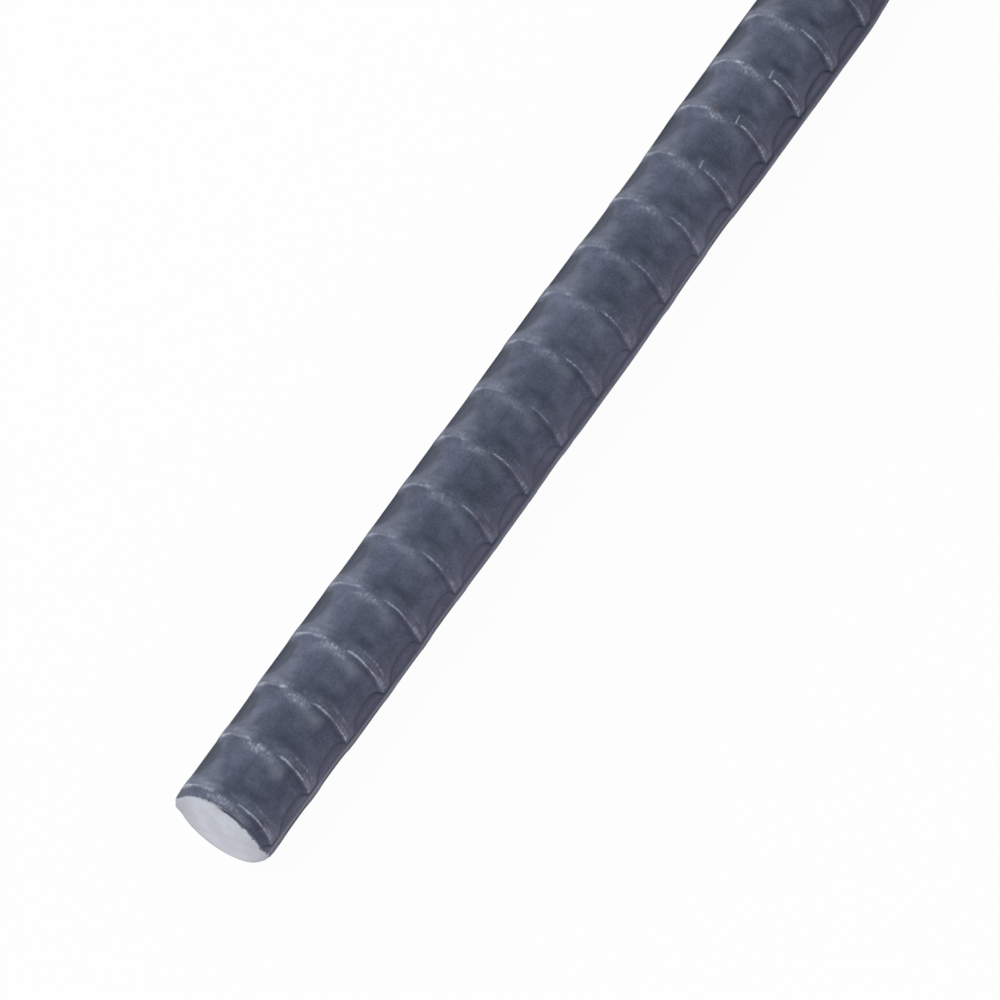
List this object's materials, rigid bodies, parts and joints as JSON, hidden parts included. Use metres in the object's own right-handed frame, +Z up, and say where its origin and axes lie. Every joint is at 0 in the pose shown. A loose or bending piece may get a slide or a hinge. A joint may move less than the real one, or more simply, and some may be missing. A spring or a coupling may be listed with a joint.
{
  "type": "deformed reinforcing bar",
  "caption": "Straight round steel reinforcing bar with raised transverse rib rings, a longitudinal rib along each side and square saw-cut ends, for reinforcing concrete or staking forms.",
  "frame": {"origin": "on the bar's axis at mid-length", "axes": "+X along the bar's axis, +Y through a longitudinal rib, +Z up out of a ribbed face"},
  "size_m": [0.6096, 0.0142, 0.0122],
  "materials": {
    "mill_scale_steel": "hot-rolled blue-grey mill scale, satin, worn pale along the rib crests; bright saw-cut ends"
  },
  "bodies": {
    "root": {"rebar": "mill_scale_steel"}
  },
  "joints": []
}
